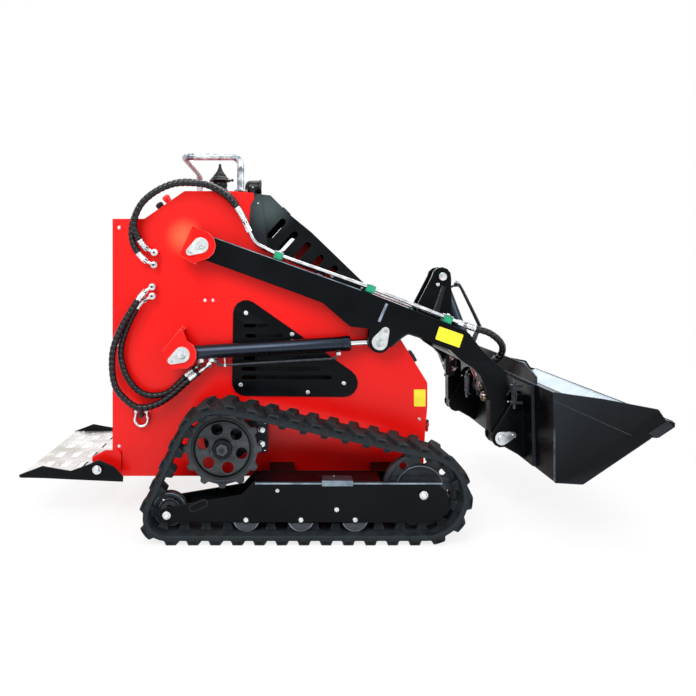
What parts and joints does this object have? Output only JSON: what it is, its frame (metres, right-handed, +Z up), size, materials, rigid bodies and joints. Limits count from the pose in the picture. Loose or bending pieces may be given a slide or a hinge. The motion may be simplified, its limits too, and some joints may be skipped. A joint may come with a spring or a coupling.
{
  "type": "mini skid steer loader",
  "caption": "Stand-on tracked mini loader with lift arms, tilting bucket, hydraulic cylinders and a fold-up rider platform.",
  "frame": {"origin": "the middle of the machine's length and width, on the ground under the tracks' lugs", "axes": "+X forward to the bucket, +Y to the machine's left, +Z up"},
  "size_m": [2.2214, 1.1, 1.3463],
  "materials": {
    "red_paint": "gloss powder coat",
    "black_paint": "satin powder coat",
    "cast_iron": "painted casting",
    "track_rubber": "matte moulded rubber",
    "hose_rubber": "smooth hose cover",
    "chromed_rod": "hard chrome",
    "zinc_plate": "bright zinc",
    "edge_steel": "bare steel",
    "black_plastic": "moulded"
  },
  "bodies": {
    "chassis": {"belly_plate": "red_paint", "console_lever_1": "black_plastic", "console_lever_2": "black_plastic", "console_panel": "red_paint", "engine_block": "cast_iron", "front_panel": "red_paint", "handlebar": "zinc_plate", "hood": "black_paint", "joystick": "black_plastic", "rear_panel": "red_paint", "work_lamp": "black_plastic", "cylinder_bracket_left": "red_paint", "cylinder_bracket_right": "red_paint", "drive_sprocket_left": "cast_iron", "drive_sprocket_right": "cast_iron", "front_idler_left": "cast_iron", "front_idler_right": "cast_iron", "lift_bracket_left": "red_paint", "lift_bracket_right": "red_paint", "lower_hose_front_left": "hose_rubber", "lower_hose_front_right": "hose_rubber", "lower_hose_rear_left": "hose_rubber", "lower_hose_rear_right": "hose_rubber", "rear_idler_left": "cast_iron", "rear_idler_right": "cast_iron", "rubber_track_left": "track_rubber", "rubber_track_right": "track_rubber", "side_plate_left": "red_paint", "side_plate_right": "red_paint", "track_frame_left": "black_paint", "track_frame_right": "black_paint", "upper_hose_front_left": "hose_rubber", "upper_hose_front_right": "hose_rubber", "upper_hose_rear_left": "hose_rubber", "upper_hose_rear_right": "hose_rubber", "vent_plate_left": "black_paint", "vent_plate_right": "black_paint"},
    "lift_arms": {"low_cross_tube": "black_paint", "tilt_tower": "black_paint", "arm_pipes_left": "zinc_plate", "arm_pipes_right": "zinc_plate", "lift_arm_left": "black_paint", "lift_arm_right": "black_paint"},
    "bucket": {"attach_plate": "black_paint", "bucket_shell": "black_paint", "cutting_edge": "edge_steel"},
    "platform": {"platform_deck": "zinc_plate", "platform_rails": "black_paint"},
    "lift_barrel_left": {"lift_barrel_left": "black_paint"},
    "lift_barrel_right": {"lift_barrel_right": "black_paint"},
    "lift_rod_left": {"lift_rod_left": "chromed_rod"},
    "lift_rod_right": {"lift_rod_right": "chromed_rod"},
    "tilt_barrel": {"tilt_barrel": "black_paint"},
    "tilt_rod": {"tilt_rod": "chromed_rod"}
  },
  "joints": [
    {"name": "lift", "type": "hinge", "parent": "chassis", "child": "lift_arms", "pos_m": [-0.45075, 0, 0.991], "axis": [0, -1, 0], "range_deg": [-7, 72], "deforming": ["upper_hose_front_left", "upper_hose_front_right", "upper_hose_rear_left", "upper_hose_rear_right"]},
    {"name": "bucket_tilt", "type": "hinge", "parent": "lift_arms", "child": "bucket", "pos_m": [0.62725, 0, 0.3], "axis": [0, 1, 0], "range_deg": [-8, 80]},
    {"name": "platform_fold", "type": "hinge", "parent": "chassis", "child": "platform", "pos_m": [-0.82475, 0, 0.184], "axis": [0, 1, 0], "range_deg": [0, 85]},
    {"name": "lift_barrel_left_swing", "type": "hinge", "parent": "chassis", "child": "lift_barrel_left", "pos_m": [-0.51775, 0, 0.599], "axis": [0, -1, 0], "range_deg": [-5.24, 52.94], "deforming": ["lower_hose_front_left", "lower_hose_rear_left"]},
    {"name": "lift_rod_left_slide", "type": "slide", "parent": "lift_barrel_left", "child": "lift_rod_left", "axis": [0.9982, 0, 0.0604], "range_m": [-0.0357, 0.3656]},
    {"name": "lift_barrel_right_swing", "type": "hinge", "parent": "chassis", "child": "lift_barrel_right", "pos_m": [-0.51775, 0, 0.599], "axis": [0, -1, 0], "range_deg": [-5.24, 52.94], "deforming": ["lower_hose_front_right", "lower_hose_rear_right"]},
    {"name": "lift_rod_right_slide", "type": "slide", "parent": "lift_barrel_right", "child": "lift_rod_right", "axis": [0.9982, 0, 0.0604], "range_m": [-0.0357, 0.3656]},
    {"name": "tilt_barrel_swing", "type": "hinge", "parent": "lift_arms", "child": "tilt_barrel", "pos_m": [0.48625, 0, 0.876], "axis": [0, -1, 0], "range_deg": [-0.47, 3.83]},
    {"name": "tilt_rod_slide", "type": "slide", "parent": "tilt_barrel", "child": "tilt_rod", "axis": [0.3581, 0, -0.9337], "range_m": [-0.0164, 0.162]}
  ],
  "couplings": [
    {"joint": "lift_barrel_left_swing", "follows": "lift", "ratio": 0.7339},
    {"joint": "lift_rod_left_slide", "follows": "lift", "m_per_rad": 0.2908},
    {"joint": "lift_barrel_right_swing", "follows": "lift", "ratio": 0.7339},
    {"joint": "lift_rod_right_slide", "follows": "lift", "m_per_rad": 0.2908},
    {"joint": "tilt_barrel_swing", "follows": "bucket_tilt", "ratio": 0.0466},
    {"joint": "tilt_rod_slide", "follows": "bucket_tilt", "m_per_rad": 0.1159}
  ]
}
